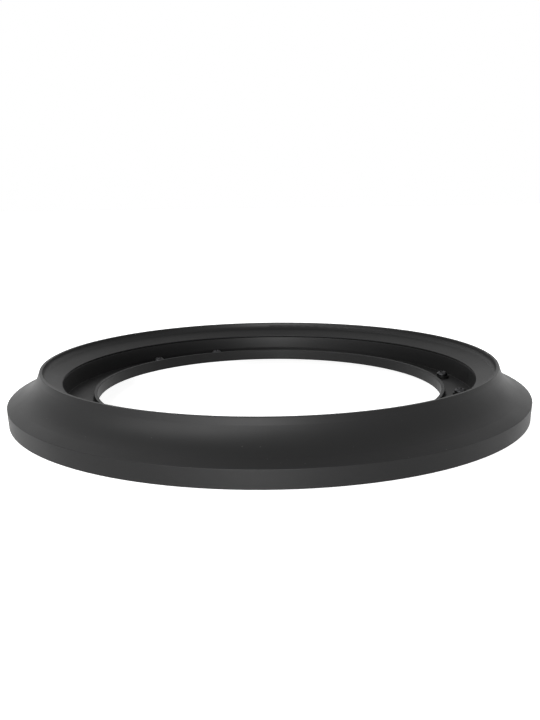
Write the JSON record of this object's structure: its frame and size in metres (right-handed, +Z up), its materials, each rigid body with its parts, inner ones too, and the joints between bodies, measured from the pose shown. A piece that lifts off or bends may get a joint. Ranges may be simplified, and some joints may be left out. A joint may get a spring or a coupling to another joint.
{
  "type": "toilet flange",
  "caption": "Low flared floor ring with a raised crest and a sloping ledge, around a channelled hub whose thin collar rims a wide pipe opening; the hub turns freely in the ring.",
  "frame": {"origin": "centre of the ring, on the plane that it stands on", "axes": "+Z up along the axis of the ring; +X through the middle of the first pair of hub screws"},
  "size_m": [0.1784, 0.1784, 0.016],
  "materials": {
    "cover_plastic": "fine matte moulded black",
    "hub_plastic": "fine matte moulded black",
    "base_plastic": "plain moulded black",
    "gasket_rubber": "soft closed-cell rubber",
    "seal_rubber": "smooth rubber",
    "retainer_steel": "rolled sheet",
    "hub_screw_steel": "black oxide",
    "base_screw_steel": "black oxide"
  },
  "bodies": {
    "floor_ring": {"cover_ring": "cover_plastic", "base_ring": "base_plastic", "floor_gasket": "gasket_rubber", "base_screw_1": "base_screw_steel", "base_screw_2": "base_screw_steel", "base_screw_3": "base_screw_steel", "base_screw_4": "base_screw_steel", "base_screw_5": "base_screw_steel", "base_screw_6": "base_screw_steel"},
    "swivel_hub": {"hub": "hub_plastic", "swivel_seal": "seal_rubber", "retainer_1": "retainer_steel", "retainer_2": "retainer_steel", "retainer_3": "retainer_steel", "hub_screw_1": "hub_screw_steel", "hub_screw_2": "hub_screw_steel", "hub_screw_3": "hub_screw_steel", "hub_screw_4": "hub_screw_steel", "hub_screw_5": "hub_screw_steel", "hub_screw_6": "hub_screw_steel"}
  },
  "joints": [
    {"name": "hub_swivel", "type": "hinge", "parent": "floor_ring", "child": "swivel_hub", "pos_m": [0, 0, 0.0032], "axis": [0, 0, 1], "continuous": true}
  ]
}
